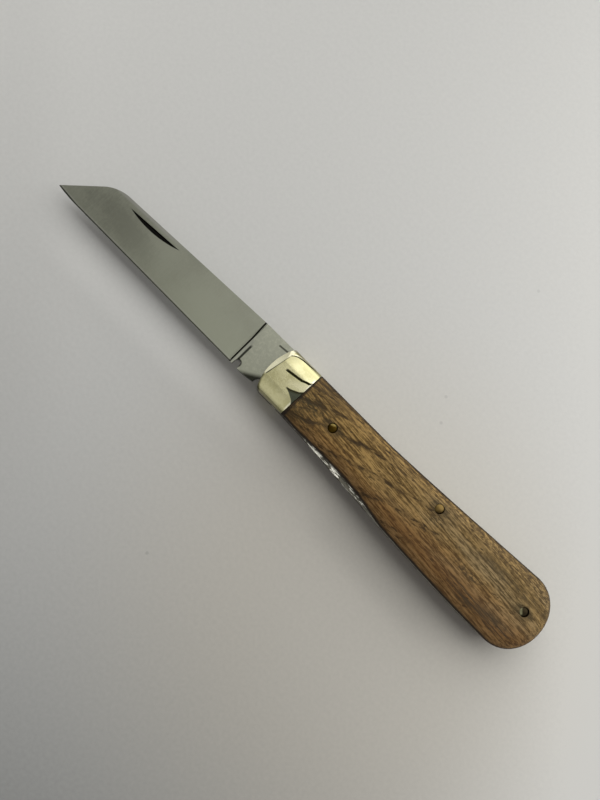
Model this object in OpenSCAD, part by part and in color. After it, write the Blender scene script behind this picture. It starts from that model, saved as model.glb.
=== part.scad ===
// Folding garden knife with one lambfoot blade, drawn open and lying on its rear side.
// X runs along the knife, with the tip at -X and the butt at +X. +Y is the back, +Z is the front side.
// The blade folds about the pivot pin, through the belly side.

/* [Handle] */
// Length of the closed handle, from the front of the bolsters to the butt
handle_len = 99.25; // [94:0.25:110]
// From the pivot to the front of the bolsters
front_reach = 6.35; // [6.2:0.05:7.6]
// Length of the bolsters along the handle
bolster_len = 11.2; // [11.1:0.1:15]
// Radius of the curve at the front of the bolsters, seen from the side
front_round = 15; // [13:0.5:30]
// Height of that curve's foremost point above the pivot
front_round_y = 0.7; // [0:0.1:2]
// Radius of the lower front corner of the bolsters
chin_r = 3.2; // [2:0.1:4]
// Radius of the upper front corner of the bolsters
brow_r = 1; // [0.5:0.1:2]
// From the pivot up to the back of the handle at the bolsters
back_h = 8.2; // [7.8:0.1:9.4]
// From the pivot down to the belly of the handle at the bolsters
belly_h = 6.4; // [6.1:0.1:7.4]
// How much the back rises from the bolsters to the butt
back_rise = 3.05; // [0:0.05:4]
// Where the back starts to rise, from the pivot
rise_start = 30; // [10:1:45]
// How much the belly swells from the bolsters to the butt
belly_swell = 3.9; // [1:0.1:6]
// Length of the rounded butt
butt_run = 9.6; // [8:0.2:14]
// How square the butt is, where 2 is an ellipse
butt_power = 2.05; // [2:0.05:3]
// Slant of the joint between bolster and wood, in degrees
joint_slant = 2.5; // [0:0.5:5]

/* [Stack] */
// Thickness of the blade and of the spring
blade_t = 2.3; // [2:0.1:3]
// Play between the blade and each liner
blade_play = 0.05; // [0.02:0.01:0.1]
// Thickness of each liner
liner_t = 0.9; // [0.6:0.1:1.4]
// Thickness of each scale and bolster
scale_t = 4; // [3.4:0.1:5.5]
// Height of the upright edge of a scale or bolster, below its crown
edge_h = 1.4; // [1:0.1:2]
// Width of the crowned margin of a scale or bolster
crown_run = 4.5; // [3.5:0.1:4.8]
// Width of the flat bevel at the front of the bolsters, in line with the pivot
front_bevel = 1.1; // [0.4:0.1:1.4]
// Slope of that bevel, in degrees
front_bevel_slope = 32; // [20:1:45]
// How far that bevel turns to widen towards the back, in degrees
front_bevel_turn = 10.5; // [0:0.5:14]
// How far the liner shows past the wood on the belly
liner_show = 1.2; // [0:0.1:1.8]
// Where the liner starts to show, from the pivot
show_start = 10; // [9:0.5:18]
// Where the liner stops showing, from the pivot
show_end = 43; // [35:0.5:52]

/* [Blade] */
// From the pivot to the tip
tip_reach = 80; // [66:0.5:84]
// From the pivot to the shoulder where the ground blade starts
shoulder_reach = 15.2; // [14.4:0.1:18]
// Depth of the cutting edge below the pivot at the shoulder
edge_drop = 6; // [5.65:0.05:6.1]
// Depth of the tip below the pivot
tip_drop = 5.2; // [4:0.1:5.5]
// Length of the edge's curve up to the tip
tip_curve = 7; // [4:0.5:12]
// Height of the blade's back above the pivot at the shoulder
spine_h = 8.1; // [7.4:0.1:8.2]
// Slope of the blade's back down towards the tip, in degrees
spine_slope = 2.6; // [0:0.1:4]
// Slope of the drop from the back to the tip, in degrees
drop_slope = 43.5; // [30:0.5:60]
// Radius between the back and the drop
drop_round = 11; // [6:0.5:22]
// Depth of the grinding step at the shoulder, on each side
grind_step = 0.12; // [0.05:0.01:0.3]
// Lean of the shoulder between the ground face and the tang, from upright, in degrees
shoulder_lean = 54; // [20:1:65]
// Radius of the groove along the foot of the shoulder
groove_r = 0.45; // [0.2:0.05:0.6]
// Depth of that groove
groove_depth = 0.12; // [0.03:0.01:0.15]
// Thickness of the ground blade just above the edge bevel
edge_t = 0.3; // [0.26:0.02:0.7]
// Height of the edge bevel
bevel_h = 0.35; // [0.3:0.05:1]
// Thickness of the edge itself
edge_tip_t = 0.08; // [0.06:0.01:0.15]

/* [Nail pull] */
// From the tip back to the middle of the nail pull
pull_from_tip = 26; // [22:0.5:32]
// Depth of the pull's upper wall below the blade's back
pull_below_spine = 1.75; // [1:0.05:2.5]
// How much more the pull slopes than the blade's back, in degrees
pull_lean = 1.4; // [0:0.1:3]
// Length of the nail pull
pull_len = 17.6; // [12:0.2:22]
// Height of the nail pull
pull_h = 1.5; // [1:0.1:2]
// Depth of the nail pull
pull_depth = 0.6; // [0.3:0.05:0.8]

/* [Slip joint] */
// Radius of the pivot pin
pivot_r = 1.5; // [1.2:0.1:1.6]
// Radius of the pivot pin's peened heads
pivot_head_r = 1.9; // [1.7:0.05:2]
// Height of the pivot pin's peened heads
pivot_head_h = 0.8; // [0.4:0.1:1.5]
// Running clearance of the blade on its pivot
pivot_play = 0.03; // [0.02:0.01:0.08]
// Distance from the pivot to the two flats of the tang that the spring presses on
tang_flat = 4.6; // [4.3:0.05:4.9]
// Radius of the tang's end, which lifts the spring between its two flats
tang_r = 5.2; // [5:0.05:5.4]
// Where the spring's nose meets the notch in the tang, from the pivot
nose_x = 1; // [0.4:0.1:1.6]
// Clearance between the tang and the spring
nose_play = 0.03; // [0.02:0.01:0.1]
// How far the blade folds, in degrees
fold_angle = 172; // [168:0.5:173]
// Radius of the round relief between the kick and the tang's end
relief_r = 2.6; // [2:0.1:2.8]
// From the pivot forward to the middle of that relief
relief_x = 4.2; // [4:0.1:5.2]
// From the pivot down to the middle of that relief
relief_y = 5.4; // [5:0.1:5.8]
// Radius of the small cut between the edge and the kick
choil_r = 0.9; // [0.8:0.1:1.1]
// How much wider that cut is at its foot, on each side
choil_flare = 0.2; // [0:0.05:0.3]
// Depth of that cut
choil_depth = 1.95; // [1.5:0.05:2]
// From the shoulder back to the middle of that cut
choil_gap = 2; // [1.9:0.1:2.3]
// Depth of the kick below the pivot
kick_drop = 6.1; // [5.8:0.05:6.2]

/* [Spring] */
// Length of the stiff part of the spring over the tang and kick
nose_len = 15; // [14:0.5:20]
// Depth of the thin, bending part of the spring, down from the back
spring_neck = 3.4; // [2.8:0.1:4]
// Metal of the spring below the pins that pass through it
spring_wall = 1.7; // [1.2:0.1:2.5]

/* [Pins] */
// Radius of the brass pins' shanks
pin_r = 1; // [0.7:0.05:1.2]
// Radius of the brass pins' domed heads
pin_head_r = 1.35; // [1.25:0.05:1.6]
// Depth of the brass pins' heads in the wood
pin_head_h = 0.7; // [0.5:0.05:1]
// Height of the dome on the brass pins' heads
pin_dome = 0.35; // [0.15:0.05:0.45]
// How far the domes stay below the face of the wood
pin_sink = 0.04; // [0.02:0.01:0.1]
// Place of the front pin, from the pivot towards the butt
front_pin_x = 16.6; // [15:0.2:24]
// Height of the front pin above the pivot
front_pin_y = 0.3; // [-1:0.1:2]
// Place of the centre pin, from the pivot towards the butt
centre_pin_x = 51; // [45:0.5:56]
// Depth of the centre pin below the back of the handle
centre_pin_inset = 4; // [3.5:0.1:4.5]
// Distance of the butt pin from the end of the butt
butt_pin_inset = 7.7; // [7:0.1:10]
// Height of the butt pin above the pivot
butt_pin_y = 1.9; // [0:0.1:3.5]
// Radius of the bolsters' rivets
rivet_r = 0.6; // [0.4:0.05:0.8]
// From the pivot to each bolster rivet, along the handle
rivet_x = 3.6; // [3.4:0.1:3.9]
// Height of the bolster rivets above the pivot
rivet_y = 1.8; // [0.5:0.1:2.5]

/* [Hidden] */
$fn = 96;

// Heights through the knife, from the face that it lies on
slot_t = blade_t + 2 * blade_play;
rear_liner_z = scale_t;
slot_z = rear_liner_z + liner_t;
blade_z = slot_z + blade_play;
front_liner_z = slot_z + slot_t;
front_scale_z = front_liner_z + liner_t;
stack_t = front_scale_z + scale_t;

// Places along the handle
joint_x = bolster_len - front_reach;
butt_x = handle_len - front_reach;
swell_x = butt_x - butt_run;
swell_mid_y = (back_h + back_rise - belly_h - belly_swell) / 2;
swell_half = (back_h + back_rise + belly_h + belly_swell) / 2;

// How sharply the back and the belly start to rise and swell
rise_power = 1.2;
swell_power = 1.25;
show_power = 1.15;

// Steps that curves are drawn in
side_steps = 40;
butt_steps = 24;
crown_steps = 8;
far = 200;
eps = 0.01;

// The middle of the whole knife, which is put over the origin
box_mid = [(butt_x - tip_reach) / 2, swell_mid_y, 0];

// Height of the back and of the belly at a place along the handle
function back_y(x) =
    back_h + back_rise * (x <= rise_start ? 0 : pow((x - rise_start) / (swell_x - rise_start), rise_power));
function belly_y(x) =
    -belly_h - belly_swell
        * (x <= joint_x ? 0 : pow(sin(90 * (x - joint_x) / (swell_x - joint_x)), swell_power));

// How far the wood stays inside the liner on the belly
function show_y(x) =
    x <= show_start || x >= show_end ? 0
    : liner_show * sin(180 * pow((x - show_start) / (show_end - show_start), show_power));

// The joint between bolster and wood is a slanted line
function joint_at(y) = joint_x + y * tan(joint_slant);

function signed_pow(value, power) = sign(value) * pow(abs(value), power);
function between(a, b, steps) = [for (i = [0:steps]) a + (b - a) * i / steps];

// An arc of radius r in the corner at b, on the way from a to c
function unit(v) = v / norm(v);
function turn_of(a, b) = (b - a) - 360 * round((b - a) / 360);
function angle_of(v) = atan2(v[1], v[0]);
function rounded(a, b, c, r, steps = 10) =
    let (u = unit(a - b), w = unit(c - b))
    r == 0 || norm(u + w) < 0.002 ? [b]
    : let (half = acos(u * w) / 2, centre = b + unit(u + w) * r / sin(half),
        start = angle_of(b + u * r / tan(half) - centre), end = angle_of(b + w * r / tan(half) - centre),
        turn = turn_of(start, end))
    [for (i = [0:steps]) centre + r * [cos(start + turn * i / steps), sin(start + turn * i / steps)]];

// Rounds each corner of a closed path of [x, y, radius]
function softened(path) =
    let (n = len(path), spot = [for (p = path) [p[0], p[1]]])
    [for (i = [0:n - 1]) each rounded(spot[(i + n - 1) % n], spot[i], spot[(i + 1) % n], path[i][2])];

// Round the butt, from the back to the belly, without its two ends
butt_path = [for (i = [1:butt_steps - 1]) let (t = 90 - 180 * i / butt_steps)
    [swell_x + butt_run * signed_pow(cos(t), 2 / butt_power),
     swell_mid_y + swell_half * signed_pow(sin(t), 2 / butt_power)]];

// Outline of the whole handle. Its square front is cut to the front curve below
function chin_corner(t) = [-front_reach + chin_r * (1 - cos(t)), -belly_h + chin_r * (1 - sin(t))];
function brow_corner(t) = [-front_reach + brow_r * (1 - sin(t)), back_h - brow_r * (1 - cos(t))];
handle_path = concat(
    [for (t = between(0, 75, 5)) chin_corner(t)],
    [for (x = between(chin_r - front_reach, swell_x, side_steps)) [x, belly_y(x)]],
    [for (i = [len(butt_path) - 1:-1:0]) butt_path[i]],
    [for (x = between(swell_x, brow_r - front_reach, side_steps)) [x, back_y(x)]],
    [for (t = between(15, 90, 5)) brow_corner(t)]);

module handle_2d() {
    intersection() {
        polygon(handle_path);
        union() {
            translate([front_round - front_reach, front_round_y]) circle(r = front_round);
            translate([0, -far / 2]) square(far);
        }
    }
}

module bolster_2d() {
    intersection() {
        handle_2d();
        polygon([[-far, -far], [joint_at(-far), -far], [joint_at(far), far], [-far, far]]);
    }
}

// Crown of a scale or bolster: [distance in from the outline, height]
crown = [for (t = between(0, 90, crown_steps))
    [crown_run * (1 - cos(t)), edge_h + (scale_t - edge_h) * sin(t)]];

// Outline of the wood, from the joint along the back, round the butt and back along the belly
wood_path = concat(
    [for (x = between(joint_at(back_h), swell_x, side_steps)) [x, back_y(x)]],
    butt_path,
    [for (x = between(swell_x, joint_at(-belly_h), side_steps)) [x, belly_y(x) + show_y(x)]]);
wood_last = len(wood_path) - 1;
function inward(i) =
    i == 0 ? [0, -1] : i == wood_last ? [0, 1]
    : let (along = unit(wood_path[i + 1] - wood_path[i - 1])) [along[1], -along[0]];

// The wood's outline moved in by a distance, with its two ends kept on the joint
function wood_ring(inset, z) = [for (i = [0:wood_last])
    let (p = wood_path[i] + inset * inward(i))
    [i == 0 || i == wood_last ? joint_at(p[1]) : p[0], p[1], z]];

module scale_blank() {
    rings = concat([wood_ring(0, 0)], [for (c = crown) wood_ring(c[0], c[1])]);
    count = wood_last + 1;
    top = len(rings) - 1;
    walls = [for (r = [0:top - 1]) for (i = [0:wood_last - 1])
        each [[r * count + i, r * count + i + 1, (r + 1) * count + i + 1],
              [r * count + i, (r + 1) * count + i + 1, (r + 1) * count + i]]];
    // Flat faces run across from the back to the belly
    rungs = [for (i = [0:wood_last / 2 - 1]) let (j = wood_last - i)
        each concat(i + 2 < j ? [[i, i + 1, j - 1]] : [], [[i, j - 1, j]])];
    land = [for (t = rungs) [for (i = t) top * count + i]];
    underside = [for (t = rungs) [t[2], t[1], t[0]]];
    joint = [for (r = [0:top - 1])
        each [[r * count, (r + 1) * count, (r + 1) * count + wood_last],
              [r * count, (r + 1) * count + wood_last, r * count + wood_last]]];
    polyhedron([for (ring = rings) each ring], concat(walls, joint, land, underside), convexity = 6);
}

module bolster_blank() {
    section = concat([[-belly_h, 0]], [for (c = crown) [-belly_h + c[0], c[1]]],
        [for (i = [crown_steps:-1:0]) [back_h - crown[i][0], crown[i][1]]], [[back_h, 0]]);
    intersection() {
        linear_extrude(scale_t) bolster_2d();
        translate([-far / 2, 0, 0]) rotate([90, 0, 90]) linear_extrude(far) polygon(section);
        translate([front_bevel - front_reach, 0, scale_t])
            rotate([0, -front_bevel_slope, -front_bevel_turn])
                translate([-far / 2, -far / 2, -far]) cube(far);
    }
}

// Places of the pins
centre_pin_y = back_y(centre_pin_x) - centre_pin_inset;
butt_pin_x = butt_x - butt_pin_inset;
front_pin = [front_pin_x, front_pin_y, 0];
centre_pin_at = [centre_pin_x, centre_pin_y, 0];
butt_pin_at = [butt_pin_x, butt_pin_y, 0];
rivets = [[-rivet_x, rivet_y, 0], [rivet_x, rivet_y, 0]];

// Puts what is drawn for the front side on the rear side
module on_rear() {
    translate([0, 0, stack_t]) mirror([0, 0, 1]) children();
}

module placed() {
    translate(-box_mid) children();
}

module pin_holes(places, from_z, to_z) {
    for (place = places)
        translate([place[0], place[1], from_z - eps]) cylinder(r = pin_r, h = to_z - from_z + 2 * eps);
}

module rivet_holes(from_z, to_z) {
    for (rivet = rivets)
        translate([rivet[0], rivet[1], from_z - eps]) cylinder(r = rivet_r, h = to_z - from_z + 2 * eps);
}

module head_holes(places) {
    for (place = places)
        translate([place[0], place[1], stack_t - pin_head_h]) cylinder(r = pin_head_r, h = pin_head_h + eps);
}

module pin_head() {
    dome_r = (pow(pin_head_r, 2) + pow(pin_dome, 2)) / (2 * pin_dome);
    intersection() {
        translate([0, 0, stack_t - pin_head_h]) cylinder(r = pin_head_r, h = pin_head_h);
        translate([0, 0, stack_t - pin_sink - dome_r]) sphere(r = dome_r);
    }
}

module through_pin(place) {
    color("#b08d45") placed() translate(place) {
        translate([0, 0, pin_head_h]) cylinder(r = pin_r, h = stack_t - 2 * pin_head_h);
        pin_head();
        on_rear() pin_head();
    }
}

module short_pin() {
    translate(front_pin) {
        translate([0, 0, front_liner_z]) cylinder(r = pin_r, h = stack_t - pin_head_h - front_liner_z);
        pin_head();
    }
}

module liner() {
    difference() {
        translate([0, 0, front_liner_z]) linear_extrude(liner_t) handle_2d();
        translate([0, 0, front_liner_z - eps]) cylinder(r = pivot_r, h = liner_t + 2 * eps);
        pin_holes([front_pin, centre_pin_at, butt_pin_at], front_liner_z, front_scale_z);
        rivet_holes(front_liner_z, front_scale_z);
    }
}

module pivot_head(extra = 0) {
    slope = (pivot_head_r - pivot_r) / pivot_head_h;
    translate([0, 0, stack_t - pivot_head_h])
        cylinder(h = pivot_head_h + extra, r1 = pivot_r, r2 = pivot_head_r + slope * extra);
}

module bolster() {
    difference() {
        translate([0, 0, front_scale_z]) bolster_blank();
        translate([0, 0, front_scale_z - eps]) cylinder(r = pivot_r, h = scale_t + 2 * eps);
        pivot_head(eps);
        rivet_holes(front_scale_z, stack_t);
    }
}

module bolster_rivets() {
    for (rivet = rivets)
        translate([rivet[0], rivet[1], front_liner_z]) cylinder(r = rivet_r, h = stack_t - front_liner_z);
}

module wood_scale() {
    difference() {
        translate([0, 0, front_scale_z]) scale_blank();
        pin_holes([front_pin, centre_pin_at, butt_pin_at], front_scale_z, stack_t);
        head_holes([front_pin, centre_pin_at, butt_pin_at]);
    }
}

// Cutting edge, from the shoulder to the tip
edge_steps = 3;
straight_rise = 0.3 * (edge_drop - tip_drop);
curve_start_y = -edge_drop + straight_rise;
edge_path = concat([[-shoulder_reach, -edge_drop]],
    [for (t = between(0, 1, edge_steps))
        [-tip_reach + tip_curve * (1 - t), curve_start_y + (-tip_drop - curve_start_y) * t * t]]);

// The corner where the lines of the back and of the drop to the tip meet
spine_tan = tan(spine_slope);
drop_tan = tan(drop_slope);
drop_x = (tip_drop - tip_reach * drop_tan + spine_h + shoulder_reach * spine_tan) / (drop_tan - spine_tan);
function spine_y(x) = spine_h + (x + shoulder_reach) * spine_tan;
drop_arc = rounded([-tip_reach, -tip_drop], [drop_x, spine_y(drop_x)], [-shoulder_reach, spine_h],
    drop_round, 16);

// The small cut between the edge and the kick: round at its top, wider and open at its foot
choil_x = shoulder_reach - choil_gap;
choil_foot = [[choil_r, 0], [-choil_r, 0],
    [-choil_r - choil_flare, -choil_depth], [choil_r + choil_flare, -choil_depth]];
tang_mid = tang_r * 0.4;
blade_path = concat(drop_arc, [[-shoulder_reach, spine_h], [-nose_x, back_h], [tang_mid, back_h],
    [tang_mid, -kick_drop], [-choil_x, -kick_drop], [-choil_x, -edge_drop]], edge_path);

// The blade and tang as a flat plate, before they are ground
module blade_plate() {
    deep = blade_t + 2 * eps;
    difference() {
        union() {
            linear_extrude(blade_t) polygon(blade_path);
            cylinder(r = tang_r, h = blade_t);
        }
        translate([-nose_x, tang_flat, -eps]) cube([far, far, deep]);
        rotate(-fold_angle) translate([-far / 2, tang_flat, -eps]) cube([far, far, deep]);
        translate([-relief_x, -relief_y, -eps]) cylinder(r = relief_r, h = deep);
        translate([-choil_x, choil_depth - edge_drop - choil_r, -eps]) {
            cylinder(r = choil_r, h = deep);
            linear_extrude(deep) polygon(choil_foot);
        }
        translate([0, 0, -eps]) cylinder(r = pivot_r + pivot_play, h = deep);
    }
}

// Half the thickness of the ground blade at a height y, and the slope of its faces
grind_slope = (blade_t / 2 - grind_step - edge_t / 2) / (spine_h + edge_drop - bevel_h);
function half_t(y) = edge_t / 2 + (y + edge_drop - bevel_h) * grind_slope;

// Puts the ground face of one side flat at z = 0, with the foot of its shoulder at x = 0
module on_face() {
    translate([-shoulder_reach, 0, half_t(0)]) rotate([atan(grind_slope), 0, 0]) children();
}

// What is ground away above one face. The shoulder slopes up to the tang from its foot
module face_cut() {
    on_face() intersection() {
        translate([-far, -far / 2, 0]) cube([far + blade_t * tan(shoulder_lean), far, blade_t]);
        rotate([0, shoulder_lean, 0]) translate([-far, -far / 2, -far / 2]) cube(far);
    }
}

module shoulder_groove() {
    on_face() translate([0, far / 2, groove_r - groove_depth]) rotate([90, 0, 0])
        cylinder(r = groove_r, h = far);
}

// What is ground away above one stretch of the edge's bevel
module bevel_cut(i) {
    translate([edge_path[i][0], edge_path[i][1], edge_tip_t / 2])
        rotate(angle_of(edge_path[i] - edge_path[i + 1]))
            rotate([atan((edge_t - edge_tip_t) / 2 / bevel_h), 0, 0])
                translate([-far, -far / 2, 0]) cube([far, far, blade_t]);
}

// The plate with both sides ground, one cut after another
module ground_blade(cuts = len(edge_path) + 1) {
    if (cuts == 0) translate([0, 0, -blade_t / 2]) blade_plate();
    else difference() {
        ground_blade(cuts - 1);
        grind(cuts - 1);
        mirror([0, 0, 1]) grind(cuts - 1);
    }
}

module grind(cut) {
    if (cut == 0) face_cut();
    else if (cut == len(edge_path)) shoulder_groove();
    else bevel_cut(cut - 1);
}

module nail_pull() {
    wheel_r = (pow(pull_len / 2, 2) + pow(pull_depth, 2)) / (2 * pull_depth);
    pull_x = -tip_reach + pull_from_tip;
    pull_y = spine_y(pull_x) - pull_below_spine;
    translate([pull_x, pull_y, half_t(pull_y)]) rotate(spine_slope + pull_lean)
        translate([0, 0, wheel_r - pull_depth]) rotate([90, 0, 0])
            cylinder(h = pull_h, r1 = wheel_r, r2 = wheel_r - pull_depth, $fn = 360);
}

module blade() {
    color("#8f9388") placed() translate([0, 0, blade_z + blade_t / 2]) difference() {
        ground_blade();
        nail_pull();
    }
}

// The spring's inner edge: flat over the tang and kick, thin where it bends, and deep round its pins
spring_y = tang_flat + nose_play;
nose_tip = nose_play - nose_x;
nose_end = nose_len - nose_x;
pin_pad = 4;
neck_start = nose_end + 3;
neck_end = centre_pin_x - pin_pad - 5;
mid_y = centre_pin_y - pin_r - spring_wall;
mid_end = butt_pin_x - pin_pad - 7;
end_y = butt_pin_y - pin_r - spring_wall;
spring_path = softened([
    [nose_tip, spring_y, 0],
    [nose_end, spring_y, 2],
    [neck_start, back_y(neck_start) - spring_neck, 2],
    [neck_end, back_y(neck_end) - spring_neck, 4],
    [centre_pin_x - pin_pad, mid_y, 4],
    [mid_end, mid_y, 5],
    [butt_pin_x - pin_pad, end_y, 3],
    [far, end_y, 0],
    [far, far, 0],
    [nose_tip, far, 0]]);

module back_spring() {
    color("#a9aba6") placed() difference() {
        translate([0, 0, blade_z]) linear_extrude(blade_t) intersection() {
            handle_2d();
            polygon(spring_path);
        }
        pin_holes([centre_pin_at, butt_pin_at], blade_z, blade_z + blade_t);
    }
}

module front_liner() {
    color("#c9c8be") placed() liner();
}

module rear_liner() {
    color("#c9c8be") placed() on_rear() liner();
}

module front_bolster() {
    color("#cfcbaa") placed() bolster();
}

module rear_bolster() {
    color("#cfcbaa") placed() on_rear() bolster();
}

module front_scale() {
    color("#876243") placed() wood_scale();
}

module rear_scale() {
    color("#876243") placed() on_rear() wood_scale();
}

module pivot_pin() {
    color("#cfcbaa") placed() {
        translate([0, 0, pivot_head_h]) cylinder(r = pivot_r, h = stack_t - 2 * pivot_head_h);
        pivot_head();
        on_rear() pivot_head();
    }
}

module centre_pin() {
    through_pin(centre_pin_at);
}

module butt_pin() {
    through_pin(butt_pin_at);
}

module front_scale_pin() {
    color("#b08d45") placed() short_pin();
}

module rear_scale_pin() {
    color("#b08d45") placed() on_rear() short_pin();
}

module front_bolster_rivets() {
    color("#cfcbaa") placed() bolster_rivets();
}

module rear_bolster_rivets() {
    color("#cfcbaa") placed() on_rear() bolster_rivets();
}

blade();
back_spring();
front_liner();
rear_liner();
front_bolster();
rear_bolster();
front_scale();
rear_scale();
pivot_pin();
centre_pin();
butt_pin();
front_scale_pin();
rear_scale_pin();
front_bolster_rivets();
rear_bolster_rivets();
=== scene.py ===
# A folding garden knife with an oak handle, lying open on a pale table
import math

import bpy
from mathutils import Matrix, Vector


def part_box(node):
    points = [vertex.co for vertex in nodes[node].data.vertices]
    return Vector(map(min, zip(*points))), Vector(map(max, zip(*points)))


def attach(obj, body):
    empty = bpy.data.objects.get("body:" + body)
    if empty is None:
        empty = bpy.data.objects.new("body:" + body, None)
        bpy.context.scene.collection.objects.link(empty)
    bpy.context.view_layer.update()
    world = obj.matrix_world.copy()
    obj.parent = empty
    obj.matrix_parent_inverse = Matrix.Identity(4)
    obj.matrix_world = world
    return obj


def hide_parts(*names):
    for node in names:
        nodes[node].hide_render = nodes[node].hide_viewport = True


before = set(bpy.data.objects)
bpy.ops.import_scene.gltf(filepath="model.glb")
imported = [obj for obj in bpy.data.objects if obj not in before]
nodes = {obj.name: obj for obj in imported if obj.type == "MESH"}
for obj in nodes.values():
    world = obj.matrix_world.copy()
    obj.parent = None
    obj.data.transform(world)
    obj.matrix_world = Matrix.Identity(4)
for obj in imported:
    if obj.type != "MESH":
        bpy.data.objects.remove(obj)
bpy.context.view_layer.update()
mm = 0.001


class Wire:  # an output socket that the signs of arithmetic work on
    def __init__(self, tree, socket):
        self.tree = tree
        self.socket = socket

    def maths(self, operation, first, second=0.0):
        made = self.tree.nodes.new("ShaderNodeMath")
        made.operation = operation
        for place, value in enumerate((first, second)):
            if isinstance(value, Wire):
                self.tree.links.new(value.socket, made.inputs[place])
            else:
                made.inputs[place].default_value = value
        return Wire(self.tree, made.outputs[0])

    def __add__(self, other):
        return self.maths("ADD", self, other)

    def __sub__(self, other):
        return self.maths("SUBTRACT", self, other)

    def __mul__(self, other):
        return self.maths("MULTIPLY", self, other)

    def __truediv__(self, other):
        return self.maths("DIVIDE", self, other)

    def __radd__(self, other):
        return self.maths("ADD", other, self)

    def __rsub__(self, other):
        return self.maths("SUBTRACT", other, self)

    def __rmul__(self, other):
        return self.maths("MULTIPLY", other, self)

    def __abs__(self):
        return self.maths("ABSOLUTE", self)


class Finish:  # a material, or the world, and the nodes wired up in it
    def __init__(self, tree):
        self.tree = tree

    def node(self, kind, settings=None, inputs=None, output=0):
        made = self.tree.nodes.new("ShaderNode" + kind)
        for key, value in (settings or {}).items():
            if key == "stops":
                for extra in value[2:]:
                    made.color_ramp.elements.new(extra[0])
                for stop, (place, shade) in zip(made.color_ramp.elements, value):
                    stop.position = place
                    stop.color = (*shade, 1)
            else:
                setattr(made, key, value)
        for key, value in (inputs or {}).items():
            self.feed(made.inputs[key], value)
        return Wire(self.tree, made.outputs[output])

    def feed(self, socket, value):
        if isinstance(value, Wire):
            self.tree.links.new(value.socket, socket)
        else:
            socket.default_value = value

    def place(self):  # where a point lies on its piece, in mm
        spot = self.node("TexCoord", output="Object")
        return self.node("VectorMath", {"operation": "SCALE"}, {0: spot, "Scale": 1 / mm})

    def axes(self, vector):
        first = self.node("SeparateXYZ", inputs={0: vector})
        return [Wire(self.tree, first.socket.node.outputs[i]) for i in range(3)]

    def stretched(self, vector, scale=(1, 1, 1), shift=(0, 0, 0), turn=0.0):
        return self.node("Mapping", inputs={"Vector": vector, "Location": shift, "Rotation": (0, 0, turn),
                                            "Scale": scale})

    def noise(self, vector, detail=3.0, roughness=0.5):
        return self.node("TexNoise", inputs={"Vector": vector, "Scale": 1.0, "Detail": detail, "Roughness": roughness})

    def ease(self, value, low, high, start=0.0, end=1.0):  # goes softly from start at low to end at high
        return self.node("MapRange", {"interpolation_type": "SMOOTHSTEP"}, {
            "Value": value, "From Min": low, "From Max": high, "To Min": start, "To Max": end})

    def near(self, distance, half, soft):  # one close to a line, none away from it
        return self.ease(abs(distance), half, half + soft, 1, 0)

    def curve(self, value, points):  # the height of a line drawn through some points
        low, high = points[0][0], points[-1][0]
        bottom = min(point[1] for point in points)
        top = max(point[1] for point in points)
        stops = [((a - low) / (high - low), ((b - bottom) / (top - bottom),) * 3) for a, b in points]
        ramp = self.node("ValToRGB", {"stops": stops}, {0: (value - low) / (high - low)})
        return ramp * (top - bottom) + bottom

    def length(self, across, up):
        pair = self.node("CombineXYZ", inputs={0: across, 1: up})
        return self.node("VectorMath", {"operation": "LENGTH"}, {0: pair}, output="Value")

    def mix(self, share, first, second, blend="MIX"):  # a colour mix has its factor at 0 and its colours at 6 and 7
        return self.node("Mix", {"data_type": "RGBA", "blend_type": blend, "clamp_factor": True},
                         {0: share, 6: first, 7: second}, output=2)

    def lay(self, base, mask, layer):  # a colour over the base where the mask is one, by the layer's share of it
        colour, share = layer
        return self.mix(mask * share, base, colour)

    def bump(self, height, distance, strength=1.0):
        return self.node("Bump", inputs={"Height": height, "Distance": distance * mm, "Strength": strength})


def rgb(red, green, blue):  # a colour as a picture shows it, 0 to 255, made linear
    def linear(part):
        part = part / 255
        return part / 12.92 if part <= 0.04045 else ((part + 0.055) / 1.055) ** 2.4
    return (linear(red), linear(green), linear(blue), 1)


def newFinish(name, fixed=None):
    material = bpy.data.materials.new(name)
    material.use_nodes = True
    finish = Finish(material.node_tree)
    finish.material = material
    finish.shader = material.node_tree.nodes["Principled BSDF"]
    for key, value in (fixed or {}).items():
        finish.shader.inputs[key].default_value = value
    return finish


def dress(finish, base, roughness, normal=None):  # wires up a metal or wood and gives its material
    finish.feed(finish.shader.inputs["Base Color"], base)
    finish.feed(finish.shader.inputs["Roughness"], roughness)
    if normal:
        finish.feed(finish.shader.inputs["Normal"], normal)
    return finish.material


# Camera: a phone held a hand's length above the knife, a little to the side of its cutting edge. Lengths in mm
cameraSizes = {"x": -1.25, "y": -18.22, "z": 191.7, "turnX": -3.78, "turnY": 3.94, "turnZ": -45.05,
               "focalPixels": 700, "frameHeight": 800, "sensor": 24.0, "nearest": 1, "farthest": 10000}


def setCamera():
    c = cameraSizes
    data = bpy.data.cameras.new("camera")
    data.sensor_fit = "VERTICAL"
    data.sensor_height = c["sensor"]
    data.sensor_width = c["sensor"]
    data.lens = c["focalPixels"] / c["frameHeight"] * c["sensor"]
    data.clip_start = c["nearest"] * mm
    data.clip_end = c["farthest"] * mm
    camera = bpy.data.objects.new("camera", data)
    bpy.context.scene.collection.objects.link(camera)
    turns = [Matrix.Rotation(math.radians(c["turn" + axis]), 3, axis) for axis in "XYZ"]
    camera.matrix_world = Matrix.Translation(Vector((c["x"], c["y"], c["z"])) * mm) @ (
        turns[0] @ turns[1] @ turns[2]).transposed().to_4x4()
    bpy.context.scene.camera = camera


setCamera()
print("camera set")

# Window: broad, on the side of the knife's back. Its tilt is in degrees from straight above
windowSizes = {"away": 1000, "tilt": 47, "width": 2400, "height": 1500, "power": 18.5, "colour": (1.0, 0.995, 0.98)}


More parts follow.
